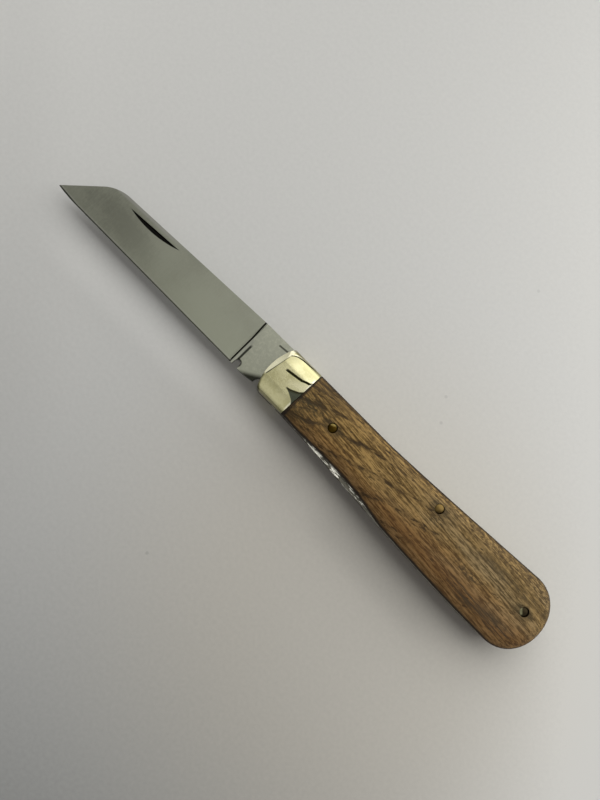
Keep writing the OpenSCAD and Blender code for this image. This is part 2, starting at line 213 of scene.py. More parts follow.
def setWindow():
    s = windowSizes
    data = bpy.data.lights.new("window", "AREA")
    data.shape = "RECTANGLE"
    data.size = s["width"] * mm
    data.size_y = s["height"] * mm
    data.energy = s["power"]
    data.color = s["colour"]
    lamp = bpy.data.objects.new("window", data)
    bpy.context.scene.collection.objects.link(lamp)
    tilt = math.radians(s["tilt"])
    lamp.location = Vector((0, math.sin(tilt), math.cos(tilt))) * s["away"] * mm
    lamp.rotation_euler = (-tilt, 0, 0)


# Room: dim all over, and with its own tones for what the metal reflects. Each fade is a pair of values of the
# direction's x, y or z, where a tone starts and where it is full
roomTones = {"ambient": 0.2, "ambientTint": (1.0, 0.97, 0.97, 1), "glossyTint": (1.0, 1.0, 0.96, 1),
             "above": 0.54, "tipSide": 0.22, "tipFade": (-0.02, -0.40), "edgeSide": 1.6, "edgeFade": (0.14, -0.45),
             "lowFade": (0.62, 0.35), "frontLow": 1.2, "frontFade": (-0.35, -0.7),
             "backLow": 1.0, "backFade": (0.3, 0.6), "buttLow": 1.4, "buttFade": (0.35, 0.7)}


def setRoom():
    t = roomTones
    world = bpy.data.worlds.new("room")
    world.use_nodes = True
    bpy.context.scene.world = world
    room = Finish(world.node_tree)
    backing = world.node_tree.nodes["Background"]
    glossy = room.node("LightPath", output="Is Glossy Ray")
    x, y, z = room.axes(room.node("TexCoord", output="Generated"))
    seen = room.ease(x, *t["tipFade"], t["above"], t["tipSide"])
    seen = seen * room.ease(y, *t["edgeFade"], 1, t["edgeSide"])
    low = room.ease(z, *t["lowFade"])
    for side, axis in (("front", x), ("back", y), ("butt", x)):
        share = low * room.ease(axis, *t[side + "Fade"])
        seen = seen + share * (t[side + "Low"] - seen)
    room.feed(backing.inputs["Color"], room.mix(glossy, t["ambientTint"], t["glossyTint"]))
    room.feed(backing.inputs["Strength"], t["ambient"] + glossy * (seen - t["ambient"]))


setWindow()
setRoom()
print("light set")

# Table: a pale sheet, with painted light falloff in its tone: lighter to the upper right and darker to the lower left.
# Its tone is a curved surface over the picture's two directions, which run from 0 to 1: across to the right and down
tableSizes = {"width": 4000, "drop": 0.05}
tableTones = {
    "dark": rgb(148, 149, 147), "light": rgb(230, 230, 226), "roughness": 0.9, "specular": 0.05,
    "acrossPerMm": 0.0043, "downPerMm": 0.003226, "reach": (-0.1, 1.1), "middle": 0.5,
    "start": 0.81, "acrossDrop": 0.35, "acrossBend": 0.41, "downDrop": 0.36, "downBend": 0.44, "bothBend": 0.85,
    "leftFade": (0.14, 0.0), "leftEnd": (0.7, 0.4), "leftDrop": 0.08, "cornerFade": (1.6, 1.95), "cornerLift": 0.16,
    "grainPerMm": 0.9, "grain": 0.13,
    "patches": [{"at": (-38, -10.5), "half": (30, 4), "soft": (22, 9), "lift": 0.2},  # painted light, lifting the blade's shadow
                {"at": (46, -17), "half": (14, 3), "soft": (14, 7), "lift": -0.1}],  # painted shade, deepening the handle's shadow along the belly
    "dust": [(27.2, 29.8), (31.3, 23.6), (-0.7, -58.0), (25.0, 70.5)], "dustFade": (0.65, 0.25), "dustDrop": 0.18,
    "warmth": (1.0, 0.962, 0.90, 1), "warmAt": (0.56, 0.78), "warmSquash": 1.15, "warmFade": (0.55, 0.15)}


def tableFinish():
    t = tableTones
    f = newFinish("table_sheet", {"Roughness": t["roughness"], "Specular IOR Level": t["specular"]})
    spot = f.place()
    x, y, z = f.axes(spot)
    low, high = t["reach"]
    across = f.node("Clamp", inputs={0: t["middle"] + (x + y) * t["acrossPerMm"], 1: low, 2: high})
    down = f.node("Clamp", inputs={0: t["middle"] + (x - y) * t["downPerMm"], 1: low, 2: high})
    # Painted light falloff: a curved surface, a drop at the left and a lift toward one corner
    pale = across * (across * t["acrossBend"] - t["acrossDrop"])
    pale = pale + down * (across * t["bothBend"] - down * t["downBend"] - t["downDrop"]) + t["start"]
    pale = pale - f.ease(across, *t["leftFade"], 0, t["leftDrop"]) * f.ease(down, *t["leftEnd"])
    pale = pale + f.ease(across + down, *t["cornerFade"], 0, t["cornerLift"])
    grain = f.noise(f.stretched(spot, (t["grainPerMm"],) * 3), 2.0)
    pale = pale + (grain - 0.5) * t["grain"]
    # Painted light and shade: patches that lighten or darken the table where the knife's shadows fall
    for patch in t["patches"]:
        along = f.near(x - patch["at"][0], patch["half"][0], patch["soft"][0])
        beside = f.near(y - patch["at"][1], patch["half"][1], patch["soft"][1])
        pale = pale + along * beside * patch["lift"]
    for speckX, speckY in t["dust"]:
        pale = pale - f.ease(f.length(x - speckX, y - speckY), *t["dustFade"]) * t["dustDrop"]
    base = f.mix(pale, t["dark"], t["light"])
    away = f.length(across - t["warmAt"][0], (down - t["warmAt"][1]) * t["warmSquash"])
    f.feed(f.shader.inputs["Base Color"], f.mix(f.ease(away, *t["warmFade"]), base, t["warmth"], "MULTIPLY"))
    return f.material


def addTable():
    bpy.ops.object.select_all(action="DESELECT")
    bpy.ops.mesh.primitive_plane_add(size=tableSizes["width"] * mm, location=(0, 0, -tableSizes["drop"] * mm))
    table = bpy.context.object
    table.name = "table"
    table.data.materials.append(tableFinish())


addTable()
print("table set")

# Places of the knife that the finishes follow, in mm
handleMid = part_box("blade")[0].z / mm / 2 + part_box("blade")[1].z / mm / 2
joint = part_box("front_bolster")[1].x / mm
pivot = (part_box("pivot_pin")[0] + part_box("pivot_pin")[1]) / 2 / mm
pinPlaces = [(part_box(node)[0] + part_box(node)[1]) / 2 / mm for node in ("front_scale_pin", "centre_pin", "butt_pin")]

# Oak: growth rings on a slant, open pores in dashes, the dirt of use, and painted shade and light that follow the shape
# of the scale. Lengths are in mm of the frame. A noise is given by its stretch along the three axes, a pair of numbers
# is where a mask starts and where it is full, and a layer is its colour and its share
oakGrain = {
    "drift": (0.05, 0.2, 0.15), "blotch": (0.06, 0.18, 0.1), "mottle": (0.8, 1.5, 1.5),
    "fibre": (0.1, 1.7, 1.5), "fine": (0.4, 4.2, 4.0), "streak": (0.11, 1.6, 1.3), "fibreTurn": 0.07,
    "pore": (0.34, 1.25, 1.2), "poreTurn": -0.22,
    "ringTurn": 2.38, "ringBow": 0.006, "ringBowAtBack": 1.6, "bowFrom": 3.5, "ringDip": 1.2, "ringDrift": 9.0,
    "ringStep": 12.3, "ringStart": 0.94, "ringFade": (0.03, 0.22), "ringEnd": (54, 42),
    "knots": [{"through": (4.6, 2.5), "slope": 0.36, "wide": (0.3, 1.0), "middle": 4.2, "long": (1.6, 3.2)},
              {"through": (-0.9, 5.8), "slope": 0.2, "wide": (0.2, 0.9), "middle": 3.0, "long": (3.2, 2.5)}],
    "dashKnot": 0.13, "dashRing": 0.15, "dashFine": 0.3, "dashMottle": 0.25,
    "dashFront": 0.05, "dashFrontFade": (34, -2), "dashFade": (0.62, 0.76),
    "toneFibre": 0.45, "toneFine": 0.35, "toneMottle": 0.2, "toneFade": (0.41, 0.59)}
oakTones = {  # pairs of colours are dark and light
    "plain": (rgb(77, 56, 22), rgb(168, 137, 82)),
    "grey": (rgb(84, 71, 46), rgb(160, 139, 102)), "greyAlong": (15, 66), "greyBlotch": (0.4, 0.66),
    "greyMost": 0.5, "greyLeast": 0.3,
    "belly": (rgb(82, 51, 20), rgb(142, 100, 54)), "bellyFade": (5, -6), "bellyDrift": 8, "bellyTurn": 0.03,
    "bellyShare": 0.75,
    "slope": (rgb(104, 78, 44), rgb(176, 144, 98)), "slopeFade": (-0.12, -0.45), "slopeShare": 0.4,
    "roughness": 0.5, "roughTone": 0.2, "bumpTone": 0.4, "bumpDepth": 0.06, "specular": 0.15}
oakLayers = {
    "ring": (rgb(76, 58, 34), 0.3),
    "back": (rgb(70, 54, 32), 0.7), "backFade": (5.6, 7.6), "backMottle": (0.6, 0.4),
    "low": (rgb(64, 42, 22), 1), "lowFade": (1.0, -4.5), "lowDrift": 4, "lowAlong": (4, 22, 0.05, 0.3),
    "brow": (rgb(70, 54, 32), 0.45), "browAlong": (20, 2), "browFade": (3.5, 6.5),
    "streak": (rgb(66, 49, 28), 0.55), "streakFade": (0.58, 0.72),
    "dash": (rgb(46, 33, 17), 0.85),
    "soot": (rgb(66, 54, 33), 1), "sootAlong": (17, 5), "sootDrift": 10, "sootFine": (0.6, 0.4, 0.15, 0.6),
    "stain": (rgb(48, 44, 27), 0.75), "stainAlong": (22, 9), "stainDrift": 14, "stainMottle": 6,
    "stainTop": (4.5, 1), "stainRagged": 3, "stainFoot": (-6.2, -4, 0.3, 1), "stainGrain": (0.58, 0.42),
    "dirt": (rgb(62, 53, 38), 0.75),
    "dirtButt": {"line": -6.6, "half": 1.2, "soft": 1.2, "from": (54, 66), "to": (84, 77), "grain": (0.6, 0.42)},
    "dirtBack": {"line": 4.6, "half": 0.9, "soft": 0.6, "from": (56, 62), "grain": (0.45, 0.6)},
    "dirtSpots": [{"at": (61, -1.9), "half": (2.0, 0.4), "soft": (4.0, 1.0), "grain": (0.64, 0.38)},
                  {"at": (46.3, 2.2), "half": (0.6, 0.5), "soft": (2.4, 1.4), "grain": (0.62, 0.4)}],
    "pin": (rgb(50, 43, 26), 0.55), "pinFade": (2.9, 1.9), "pinLong": 0.55, "pinRagged": 1.5,
    "foot": (rgb(40, 29, 18), 0.85), "footFade": (3.7, 4.9),
    "rim": (rgb(28, 20, 13), 0.9), "rimFade": (0.76, 0.5),
    "joint": (rgb(26, 19, 12), 0.85), "jointFade": (0.45, 0.05)}


def oakFinish():
    g, t, m = oakGrain, oakTones, oakLayers
    f = newFinish("oiled_oak", {"Specular IOR Level": t["specular"]})
    spot = f.place()
    x, y, z = f.axes(spot)
    height = abs(z - handleMid)
    sideways, up, out = f.axes(f.node("TexCoord", output="Normal"))
    lean = f.stretched(spot, turn=g["fibreTurn"])
    steep = f.stretched(spot, turn=g["poreTurn"])
    drift = f.noise(f.stretched(spot, g["drift"])) - 0.5
    fibre = f.noise(f.stretched(lean, g["fibre"]), 3.0, 0.7)
    fine = f.noise(f.stretched(lean, g["fine"]), 2.0, 0.6)
    mottle = f.noise(f.stretched(spot, g["mottle"], (9, 1, 4)), 4.0, 0.7)
    pore = f.noise(f.stretched(steep, g["pore"], (3, 7, 1)), 3.0, 0.6)
    streak = f.noise(f.stretched(lean, g["streak"], (1, 5, 2)), 3.0, 0.6)
    blotch = f.noise(f.stretched(spot, g["blotch"], (5, 2, 8)))

    # Rings, knots and pores
    nearBack = f.node("Math", {"operation": "MAXIMUM"}, {0: y - g["bowFrom"], 1: 0.0})
    rings = x * (1 - x * g["ringBow"]) - y * g["ringTurn"] - nearBack * nearBack * g["ringBowAtBack"]
    rings = rings + height * g["ringDip"] + drift * g["ringDrift"]
    ring = f.node("Math", {"operation": "FRACT"}, {0: rings / g["ringStep"] + g["ringStart"]})
    band = f.ease(abs(ring - 0.5), *g["ringFade"], 1, 0) * f.ease(x, *g["ringEnd"])
    knot = 0.0
    for k in g["knots"]:
        beside = y - k["through"][1] - (x - k["through"][0]) * k["slope"]
        knot = knot + f.near(beside, *k["wide"]) * f.near(x - k["middle"], *k["long"])
    dash = pore + knot * g["dashKnot"] + band * g["dashRing"] + (fine - 0.5) * g["dashFine"]
    dash = dash + (mottle - 0.5) * g["dashMottle"] + f.ease(x, *g["dashFrontFade"], 0, g["dashFront"])
    dash = f.ease(dash, *g["dashFade"])
    tone = f.ease(fibre * g["toneFibre"] + fine * g["toneFine"] + mottle * g["toneMottle"], *g["toneFade"])

    # Tints of the wood, then what lies darker on it, with painted shade toward the belly and painted light on the
    # slopes that face the belly
    base = f.mix(tone, *t["plain"])
    grey = f.ease(x, *t["greyAlong"]) * (f.ease(blotch, *t["greyBlotch"]) * t["greyMost"] + t["greyLeast"])
    base = f.mix(grey, base, f.mix(tone, *t["grey"]))
    belly = f.ease(y + blotch * t["bellyDrift"] - x * t["bellyTurn"], *t["bellyFade"])
    base = f.mix(belly * t["bellyShare"], base, f.mix(tone, *t["belly"]))
    base = f.lay(base, band, m["ring"])
    base = f.lay(base, f.ease(y, *m["backFade"]) * f.ease(mottle, *m["backMottle"]), m["back"])
    # Painted shade, darker toward the belly
    base = f.lay(base, f.ease(y + blotch * m["lowDrift"], *m["lowFade"]) * f.ease(x, *m["lowAlong"]), m["low"])
    base = f.lay(base, f.ease(x, *m["browAlong"]) * f.ease(y, *m["browFade"]), m["brow"])
    # Painted light: lighter tones on the slopes that face the belly, which the lamp leaves dark
    base = f.mix(f.ease(up, *t["slopeFade"]) * t["slopeShare"], base, f.mix(tone, *t["slope"]))
    base = f.lay(base, f.ease(streak, *m["streakFade"]), m["streak"])
    base = f.lay(base, dash, m["dash"])
    soot = f.ease(x - joint + blotch * m["sootDrift"], *m["sootAlong"]) * f.ease(fine, *m["sootFine"])
    base = f.lay(base, soot, m["soot"])
    stain = f.ease(x - joint + blotch * m["stainDrift"] + mottle * m["stainMottle"], *m["stainAlong"])
    stain = stain * f.ease(y + mottle * m["stainRagged"], *m["stainTop"]) * f.ease(y, *m["stainFoot"])
    base = f.lay(base, stain * f.ease(mottle, *m["stainGrain"]), m["stain"])

    # Dirt at the butt, along the back and in two spots, and round the pins
    d = m["dirtButt"]
    dirt = f.near(y - d["line"], d["half"], d["soft"]) * f.ease(x, *d["from"]) * f.ease(x, *d["to"])
    dirt = dirt * f.ease(fibre, *d["grain"])
    d = m["dirtBack"]
    dirt = dirt + f.near(y - d["line"], d["half"], d["soft"]) * f.ease(x, *d["from"]) * f.ease(fine, *d["grain"])
    for d in m["dirtSpots"]:
        beside = f.near(y - d["at"][1], d["half"][1], d["soft"][1])
        along = f.near(x - d["at"][0], d["half"][0], d["soft"][0])
        dirt = dirt + beside * along * f.ease(mottle, *d["grain"])
    base = f.lay(base, dirt, m["dirt"])
    for pin in pinPlaces:
        away = f.length((x - pin.x) * m["pinLong"], y - pin.y)
        base = f.lay(base, f.ease(away + mottle * m["pinRagged"], *m["pinFade"]), m["pin"])

    # Painted shade at the foot of the scale and on its steep rim, and the dark line at the joint
    base = f.lay(base, f.ease(height, *m["footFade"], 1, 0), m["foot"])
    base = f.lay(base, f.ease(abs(out), *m["rimFade"]), m["rim"])
    base = f.lay(base, f.ease(x - joint, *m["jointFade"]), m["joint"])
    return dress(f, base, t["roughness"] + t["roughTone"] * tone, f.bump(tone * t["bumpTone"] - dash, t["bumpDepth"]))


# Places on the blade, in mm from its pivot: a pull and a notch have a middle, and a line is drawn through some points.
# half is half the blade's thickness at a height, as its grinding leaves it
bladePlaces = {
    "shoulder": -15.05, "step": 0.2, "second": -13.65, "notch": (-13.2, -4.95), "notchRound": 0.9,
    "edge": [(-80, -5.2), (-73, -5.76), (-15.2, -6.0)], "back": [(-70, 5.6), (-15.2, 8.1)],
    "half": [(-5.65, 0.15), (8.1, 1.03)], "deep": (0.01, 0.03),
    "pull": (-54.0, 4.0), "pullHalf": (9.2, 1.4), "pullSoft": 0.2,
    "scratch": (-7.05, 6.4), "scratchSlope": 0.1, "scratchMiddle": -7.15, "scratchLong": (1.3, 0.3),
    "kick": (-10.3, -5.6), "kickAcross": 0.521, "kickUp": 0.853, "kickRagged": 0.5}
bladeGrain = {"cloud": (0.07, 0.1, 0.1), "grain": (5.0, 0.4, 1.0), "speck": (1.3, 1.3, 1.3)}
bladeDark = rgb(22, 22, 18)
bladeTones = {
    "top": rgb(140, 141, 128), "foot": rgb(152, 154, 138), "ramp": (7.5, -5),
    "tip": (rgb(113, 114, 103), 0.9), "tipFade": (-25, -72),
    "cloud": (rgb(156, 158, 143), 0.5), "cloudFade": (0.38, 0.62), "cloudShares": (0.6, 0.2, 0.2),
    "glint": (rgb(160, 158, 154), 0.5), "glintFade": (1.1, 0.5), "glintAlong": (-42, -52),
    "tangTop": rgb(139, 140, 127), "tangFoot": rgb(143, 144, 130), "tangRamp": (4, -5),
    "speck": (rgb(166, 167, 150), 0.3), "speckFade": (0.45, 0.62),
    "strip": (rgb(124, 124, 118), 0.4), "stripAlong": 0.3, "stripFade": (3.5, 1.5),
    "shoulder": (bladeDark, 1), "shoulderWide": (0.17, 0.14), "shoulderLean": (2, 8, 0, 0.25),
    "second": (bladeDark, 0.9), "secondWide": (0.2, 0.2), "secondTop": (1.4, 0.4),
    "notch": (bladeDark, 0.9), "notchWide": (0.5, 0.15),
    "scratch": (bladeDark, 0.8), "scratchWide": (0.17, 0.15),
    "kick": (rgb(23, 23, 17), 0.95), "kickFade": (-0.75, 0.75), "kickTop": (-2.2, -3.2),
    "edge": (bladeDark, 0.8), "edgeFade": (0.42, 0.2),
    "shine": (rgb(176, 174, 168), 0.25), "shineTop": (0.9, 0.5), "shineFoot": (0.25, 0.4),
    "pull": (rgb(12, 11, 10), 1),
    "roughness": 0.36, "tangSmoother": 0.06, "roughGrain": 0.05, "bumpDepth": 0.004, "bumpStrength": 0.5}


def bladeFinish():
    m, g, t = bladePlaces, bladeGrain, bladeTones
    f = newFinish("satin_blade_steel", {"Metallic": 1.0})
    spot = f.place()
    x, y, z = f.axes(spot)
    x, y = x - pivot.x, y - pivot.y
    tang = f.ease(x, m["shoulder"], m["shoulder"] + m["step"])
    cloud = f.noise(f.stretched(spot, g["cloud"]))
    grain = f.noise(f.stretched(spot, g["grain"]), 3.0, 0.6)
    speck = f.noise(f.stretched(spot, g["speck"], (2, 4, 6)), 4.0, 0.7)

    # The ground blade, painted lighter toward its edge and darker toward its tip as reflection, with a painted glint
    # along its back toward the tip, and the flat tang
    ground = f.mix(f.ease(y, *t["ramp"]), t["top"], t["foot"])
    ground = f.lay(ground, f.ease(x, *t["tipFade"]), t["tip"])
    mixed = [noise * share for noise, share in zip((cloud, grain, speck), t["cloudShares"])]
    ground = f.lay(ground, f.ease(mixed[0] + mixed[1] + mixed[2], *t["cloudFade"]), t["cloud"])
    fromBack = f.curve(x, m["back"]) - y
    ground = f.lay(ground, f.ease(fromBack, *t["glintFade"]) * f.ease(x, *t["glintAlong"]), t["glint"])
    flat = f.mix(f.ease(y, *t["tangRamp"]), t["tangTop"], t["tangFoot"])
    flat = f.lay(flat, f.ease(speck, *t["speckFade"]), t["speck"])
    base = f.mix(tang, ground, flat)

    # Lines and painted shade of the tang: its shoulder groove and a second line, painted dark as the shade in them, the
    # notch's rim in painted shade, a scratch, and the kick's lower corner in painted shade
    beforeSecond = m["second"] - t["stripAlong"]
    strip = f.ease(x, m["second"], beforeSecond) * f.ease(y, *t["stripFade"]) * tang
    base = f.lay(base, strip, t["strip"])
    base = f.lay(base, f.near(x - m["shoulder"] + f.ease(y, *t["shoulderLean"]), *t["shoulderWide"]), t["shoulder"])
    base = f.lay(base, f.near(x - m["second"], *t["secondWide"]) * f.ease(y, *t["secondTop"]), t["second"])
    fromNotch = f.length(x - m["notch"][0], y - m["notch"][1]) - m["notchRound"]
    base = f.lay(base, f.ease(fromNotch, *t["notchWide"]) * f.ease(x, beforeSecond, m["second"]), t["notch"])
    scratch = f.near(y - m["scratch"][1] - (x - m["scratch"][0]) * m["scratchSlope"], *t["scratchWide"])
    base = f.lay(base, scratch * f.near(x - m["scratchMiddle"], *m["scratchLong"]), t["scratch"])
    corner = (x - m["kick"][0]) * m["kickAcross"] - (y - m["kick"][1]) * m["kickUp"] + (speck - 0.5) * m["kickRagged"]
    base = f.lay(base, f.ease(corner, *t["kickFade"]) * f.ease(y, *t["kickTop"]), t["kick"])

    # The edge, with a painted dark reflection along it and a painted highlight just above it, and the nail pull painted
    # dark as the shade in its hollow
    edge = y - f.curve(x, m["edge"])
    base = f.lay(base, f.ease(edge, *t["edgeFade"]) * (1 - tang), t["edge"])
    base = f.lay(base, f.ease(edge, *t["shineTop"]) * f.ease(edge, *t["shineFoot"]) * (1 - tang), t["shine"])
    half = f.curve(y, m["half"])
    pull = f.ease(abs(z - handleMid), half - m["deep"][0], half - m["deep"][1])
    for axis, place, reach in zip((x, y), m["pull"], m["pullHalf"]):
        pull = pull * f.near(axis - place, reach, m["pullSoft"])
    base = f.lay(base, pull, t["pull"])
    roughness = t["roughness"] - t["tangSmoother"] * tang + t["roughGrain"] * (grain - 0.5)
    return dress(f, base, roughness, f.bump(grain, t["bumpDepth"], t["bumpStrength"]))


# Liners: filed along the belly where they show, with painted glints at given places there, and plain satin elsewhere.
# Places are in mm of the frame
linerLook = {
    "mark": (0.45, 2.4, 2.4), "markTurn": 0.12, "filedAlong": (36, 30), "filedFade": (-5.0, -6.0),
    "glints": [(11.6, 1.5, 1.2, 1), (18.9, 0.9, 1.2, 1), (29, 4.5, 3, 0.35)],  # middle, half, soft and strength
    "glintMore": 0.16, "duller": (14, 24, 0, 0.04), "glintFade": (0.54, 0.68),
    "satin": (rgb(140, 137, 128), rgb(168, 165, 154)), "filedGlinting": (rgb(98, 95, 86), rgb(236, 233, 222)),
    "roughness": 0.45, "glintSmoother": 0.15, "bumpDepth": 0.05}


def linerFinish():
    t = linerLook
    f = newFinish("filed_liner_metal", {"Metallic": 1.0})
    spot = f.place()
    x, y, z = f.axes(spot)
    mark = f.noise(f.stretched(spot, t["mark"], turn=t["markTurn"]), 3.0, 0.6)
    bright = 0.0
    # Painted glints, brightest at the given places
    for place, half, soft, strength in t["glints"]:
        bright = bright + f.near(x - place, half, soft) * strength
    glint = f.ease(mark + bright * t["glintMore"] - f.ease(x, *t["duller"]), *t["glintFade"])
    filedGlinting = f.ease(x, *t["filedAlong"]) * f.ease(y, *t["filedFade"])
    base = f.mix(filedGlinting, f.mix(mark, *t["satin"]), f.mix(glint, *t["filedGlinting"]))
    return dress(f, base, t["roughness"] - t["glintSmoother"] * glint, f.bump(mark, t["bumpDepth"]))


# Spring: ground along its length
springLook = {"cloud": (0.06, 0.15, 0.1), "line": (0.3, 6.0, 6.0), "dark": rgb(140, 140, 134),
              "light": rgb(180, 180, 172), "cloudShare": 0.6, "lineShare": 0.4, "fade": (0.3, 0.7),
              "roughness": 0.35, "roughLine": 0.12, "bumpDepth": 0.01, "bumpStrength": 0.6}


def springFinish():
    t = springLook
    f = newFinish("ground_spring_steel", {"Metallic": 1.0})
    spot = f.place()
    cloud = f.noise(f.stretched(spot, t["cloud"]))
    line = f.noise(f.stretched(spot, t["line"]), 3.0, 0.7)
    base = f.mix(f.ease(cloud * t["cloudShare"] + line * t["lineShare"], *t["fade"]), t["dark"], t["light"])
    roughness = t["roughness"] + t["roughLine"] * (line - 0.5)
    return dress(f, base, roughness, f.bump(line, t["bumpDepth"], t["bumpStrength"]))


# Bolsters: polished, with painted reflections, highlights and shade as tones. Places are in mm of the frame, and a line
# is drawn through some points
bolsterPlaces = {
    "line": [(-9.0, 2.1), (-7.4, 2.3), (-6.1, 2.5), (-4.0, 2.85), (-3.0, 3.3), (-2.0, 3.6), (-1.2, 4.5)],
    "lineAlong": [(-9.3, -8.6), (-1.2, -1.9)], "lineDrop": 0.05,
    "wedgeTop": [(-5.6, -1.25), (-4.6, -1.0), (-3.4, -0.45), (-2.4, 0.1), (-1.3, 1.2)],
    "wedgeFoot": [(-5.6, -1.4), (-4.4, -1.8), (-3.4, -2.3), (-2.4, -2.9), (-1.9, -3.6)], "wedgeAlong": (-5.7, -5.2),
    "crest": [(-11.0, 4.4), (-10.6, 5.5), (-9.9, 6.15), (-9.0, 6.6), (-7.4, 6.95), (-5.0, 7.15), (-2.0, 7.4)],
    "crestAlong": [(-11, -10.8), (-2.5, -5)], "lipAlong": [(-11, -10.6), (-3.5, -5)], "lipRise": 0.35,
    "front": [(-6.8, -10.6), (-5.5, -11.7), (-4.0, -12.35), (-2.6, -12.65)],
    "crease": -11.6, "creaseTurn": 0.185, "creaseMiddle": 1.3, "creaseLong": (3.4, 0.5)}
bolsterGrain = {"cloud": (0.3, 0.35, 0.3), "scratch": (6.0, 0.6, 2.0), "speck": (1.6, 1.6, 1.6)}
bolsterDark = rgb(26, 26, 8)
bolsterTones = {
    "plain": (rgb(176, 171, 130), rgb(190, 185, 146)), "plainShares": (0.6, 0.4), "plainFade": (0.4, 0.6),
    "brow": (rgb(140, 136, 104), 0.7), "browFade": (-9.5, -14), "browTurn": 0.6, "browTop": (0.5, 4.5),
    "sheen": (rgb(222, 217, 184), 0.6), "sheenFade": (-8.5, -4), "sheenTop": (-1, 1.5),
    "rear": (rgb(240, 235, 216), 0.55),
    "rearStrips": [{"at": (-1.62, 3.4), "half": (0.12, 1.2), "soft": (0.2, 1.2)},
                   {"at": (-2.1, -4.2), "half": (0.08, 0.7), "soft": (0.3, 1.3)}],
    "line": (bolsterDark, 1), "lineWide": (0.25, 0.2),
    "wedge": (rgb(76, 79, 66), rgb(56, 56, 40)), "wedgeShade": (0.9, 0.1), "wedgeSharp": (-0.1, 0.15),
    "wedgeRim": (bolsterDark, 0.9), "wedgeRimAt": 0.02, "wedgeRimWide": (0.14, 0.14), "wedgeRimAlong": (-6.0, -5.4),
    "gap": (rgb(30, 22, 12), 1), "gapAlong": (-1.95, -1.8), "gapTop": (-1.6, -2.4),
    "lip": (rgb(196, 191, 162), 1), "lipWide": (0.15, 0.1), "crest": (bolsterDark, 1), "crestWide": (0.11, 0.13),
    "bevel": (rgb(200, 196, 170), rgb(178, 174, 150)), "bevelRamp": (1.0, 5.5), "bevelAcross": (0, -0.1),
    "bevelFoot": (-3.2, -2.2),
    "crease": (bolsterDark, 1), "creaseWide": (0.07, 0.13), "creaseFade": (3, -3, 0.6, 1.0),
    "front": (bolsterDark, 0.8), "frontFade": (0.8, 0.1), "frontTop": (-2.0, -3.0),
    "foot": (bolsterDark, 0.35), "footFade": (-5.4, -6.3),
    "roughness": 0.21, "roughScratch": 0.06, "bumpDepth": 0.003, "bumpStrength": 0.5}


def bolsterFinish():
    m, g, t = bolsterPlaces, bolsterGrain, bolsterTones
    f = newFinish("polished_bolster", {"Metallic": 1.0})
    spot = f.place()
    x, y, z = f.axes(spot)
    cloud = f.noise(f.stretched(spot, g["cloud"]))
    scratch = f.noise(f.stretched(spot, g["scratch"]), 3.0, 0.6)
    speck = f.noise(f.stretched(spot, g["speck"], (4, 4, 4)), 4.0, 0.7)
    base = f.ease(cloud * t["plainShares"][0] + speck * t["plainShares"][1], *t["plainFade"])
    base = f.mix(base, *t["plain"])
    # Painted reflection: darker toward the front of the upper half, and a lighter sheen toward its rear
    base = f.lay(base, f.ease(x - y * t["browTurn"], *t["browFade"]) * f.ease(y, *t["browTop"]), t["brow"])
    base = f.lay(base, f.ease(x - y, *t["sheenFade"]) * f.ease(y, *t["sheenTop"]), t["sheen"])
    # Painted highlights: two light strips along the rear edge
    rear = 0.0
    for s in t["rearStrips"]:
        strip = f.near(x - s["at"][0], s["half"][0], s["soft"][0])
        rear = rear + strip * f.near(y - s["at"][1], s["half"][1], s["soft"][1])
    base = f.lay(base, rear, t["rear"])

    # Painted reflections: the dark line, and the dark wedge with its rim, which is on the front side only; then the
    # dark gap at the joint
    line = f.near(y - f.curve(x, m["line"]) + m["lineDrop"], *t["lineWide"])
    base = f.lay(base, line * f.ease(x, *m["lineAlong"][0]) * f.ease(x, *m["lineAlong"][1]), t["line"])
    upper = f.curve(x, m["wedgeTop"]) - y
    lower = y - f.curve(x, m["wedgeFoot"])
    frontSide = f.ease(z, handleMid, handleMid + 1)
    wedge = f.ease(upper, *t["wedgeSharp"]) * f.ease(lower, *t["wedgeSharp"]) * f.ease(x, *m["wedgeAlong"])
    base = f.mix(wedge * frontSide, base, f.mix(f.ease(upper, *t["wedgeShade"]), *t["wedge"]))
    rim = f.near(upper - t["wedgeRimAt"], *t["wedgeRimWide"]) * f.ease(x, *t["wedgeRimAlong"])
    base = f.lay(base, rim * frontSide, t["wedgeRim"])
    base = f.lay(base, f.ease(x, *t["gapAlong"]) * f.ease(y, *t["gapTop"]) * frontSide, t["gap"])

    # Painted reflections: a dark line along the crest of the back with a light lip above it, and the pale bevel at the
    # front with its dark crease; then painted shade under the front corner and along the foot
    crest = y - f.curve(x, m["crest"])
    lip = f.near(crest - m["lipRise"], *t["lipWide"])
    base = f.lay(base, lip * f.ease(x, *m["lipAlong"][0]) * f.ease(x, *m["lipAlong"][1]), t["lip"])
    line = f.near(crest, *t["crestWide"])
    base = f.lay(base, line * f.ease(x, *m["crestAlong"][0]) * f.ease(x, *m["crestAlong"][1]), t["crest"])
    crease = x - y * m["creaseTurn"] - m["crease"]
    bevel = f.ease(crease, *t["bevelAcross"]) * f.ease(y, *t["bevelFoot"])
    base = f.mix(bevel, base, f.mix(f.ease(y, *t["bevelRamp"]), *t["bevel"]))
    line = f.near(crease, *t["creaseWide"]) * f.near(y - m["creaseMiddle"], *m["creaseLong"])
    base = f.lay(base, line * f.ease(y, *t["creaseFade"]), t["crease"])
    front = x - f.curve(y, m["front"])
    base = f.lay(base, f.ease(front, *t["frontFade"]) * f.ease(y, *t["frontTop"]), t["front"])
    base = f.lay(base, f.ease(y, *t["footFade"]), t["foot"])
    roughness = t["roughness"] + t["roughScratch"] * scratch
    return dress(f, base, roughness, f.bump(scratch, t["bumpDepth"], t["bumpStrength"]))


